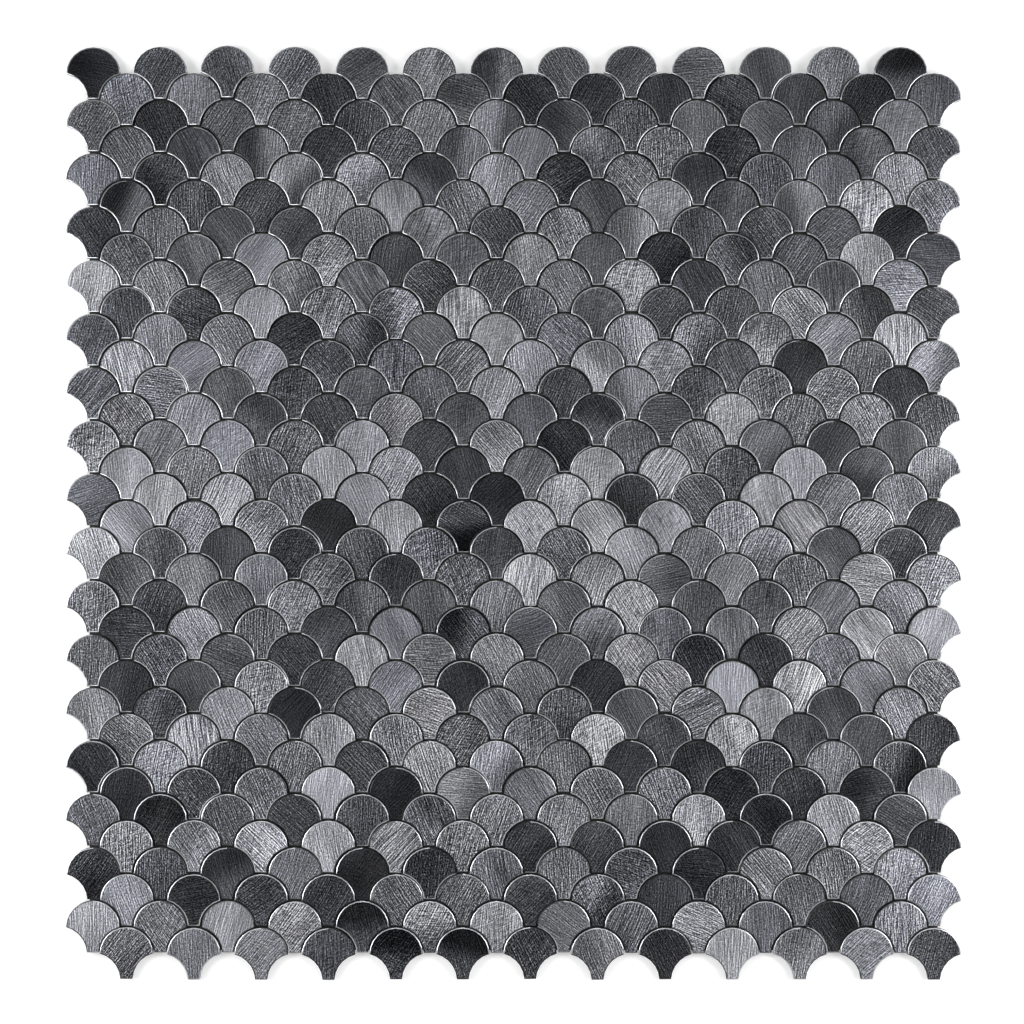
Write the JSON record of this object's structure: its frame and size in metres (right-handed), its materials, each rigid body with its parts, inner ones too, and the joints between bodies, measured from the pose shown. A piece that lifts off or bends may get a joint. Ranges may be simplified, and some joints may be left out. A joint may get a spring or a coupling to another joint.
{
  "type": "peel and stick metal tile",
  "caption": "Self-adhesive wall tile sheet of small brushed metal fish scales in staggered rows on one sticky mat with a peel-off liner; scalloped edges interlock with the next sheet.",
  "frame": {"origin": "middle of the sheet's outline, on the underside of the release liner", "axes": "+X along the rows of scales, +Y towards their rounded heads, +Z out of the metal face"},
  "size_m": [0.2924, 0.3048, 0.0039],
  "materials": {
    "brushed_aluminium": "dark tinted, hand brushed in many directions, bare bright rims",
    "adhesive_mat": "matt black, tacky",
    "release_liner": "smooth silicone-coated paper"
  },
  "bodies": {
    "root": {"scale_row_01": "brushed_aluminium", "scale_row_02": "brushed_aluminium", "scale_row_03": "brushed_aluminium", "scale_row_04": "brushed_aluminium", "scale_row_05": "brushed_aluminium", "scale_row_06": "brushed_aluminium", "scale_row_07": "brushed_aluminium", "scale_row_08": "brushed_aluminium", "scale_row_09": "brushed_aluminium", "scale_row_10": "brushed_aluminium", "scale_row_11": "brushed_aluminium", "scale_row_12": "brushed_aluminium", "scale_row_13": "brushed_aluminium", "scale_row_14": "brushed_aluminium", "scale_row_15": "brushed_aluminium", "scale_row_16": "brushed_aluminium", "scale_row_17": "brushed_aluminium", "scale_row_18": "brushed_aluminium", "scale_row_19": "brushed_aluminium", "scale_row_20": "brushed_aluminium", "scale_row_21": "brushed_aluminium", "scale_row_22": "brushed_aluminium", "scale_row_23": "brushed_aluminium", "scale_row_24": "brushed_aluminium", "scale_row_25": "brushed_aluminium", "scale_row_26": "brushed_aluminium", "scale_row_27": "brushed_aluminium", "scale_row_28": "brushed_aluminium", "scale_row_29": "brushed_aluminium", "scale_row_30": "brushed_aluminium", "scale_row_31": "brushed_aluminium", "scale_row_32": "brushed_aluminium", "scale_row_33": "brushed_aluminium", "scale_row_34": "brushed_aluminium", "adhesive_mat": "adhesive_mat", "release_liner": "release_liner"}
  },
  "joints": []
}
